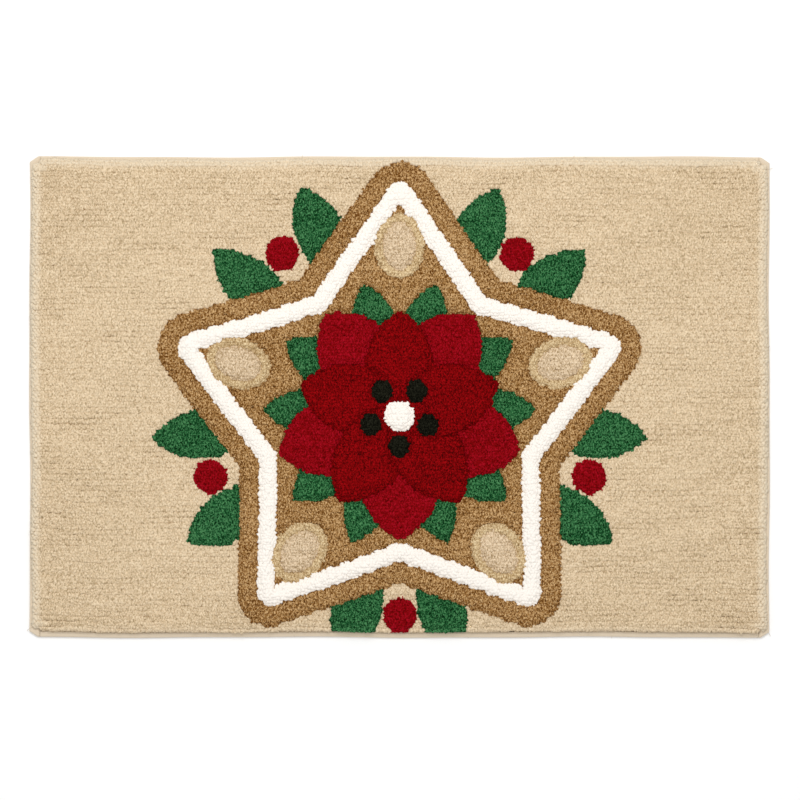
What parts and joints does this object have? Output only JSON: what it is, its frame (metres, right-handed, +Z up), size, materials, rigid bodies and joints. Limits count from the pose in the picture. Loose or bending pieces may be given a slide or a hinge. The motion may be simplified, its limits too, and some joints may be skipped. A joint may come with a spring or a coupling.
{
  "type": "tufted kids rug",
  "caption": "Rectangular cut-pile kids rug with a carved star, flower and holly pattern, bound all round with woven edge tape.",
  "frame": {"origin": "middle of the rug's underside, on the floor", "axes": "+X along the rug's length, +Y towards its back edge (the top of the pattern), +Z up out of the pile"},
  "size_m": [0.771, 0.5014, 0.0154],
  "materials": {
    "ground_pile": "matt cut pile, beige",
    "brown_pile": "matt cut pile, camel brown",
    "red_pile": "matt cut pile, deep red",
    "dark_red_pile": "matt cut pile, darker red",
    "green_pile": "matt cut pile, bottle green",
    "white_pile": "fluffy cut pile, warm white",
    "black_pile": "matt cut pile, black",
    "sand_pile": "matt cut pile, sand",
    "cream_pile": "matt cut pile, cream",
    "backing_cloth": "coated woven backing, off-white",
    "edge_tape": "plain woven tape, beige",
    "sewing_thread": "sewing thread, beige"
  },
  "bodies": {
    "root": {"tufted_mat": "ground_pile", "tape_left": "edge_tape", "tape_right": "edge_tape", "tape_back": "edge_tape", "tape_front": "edge_tape"}
  },
  "joints": []
}
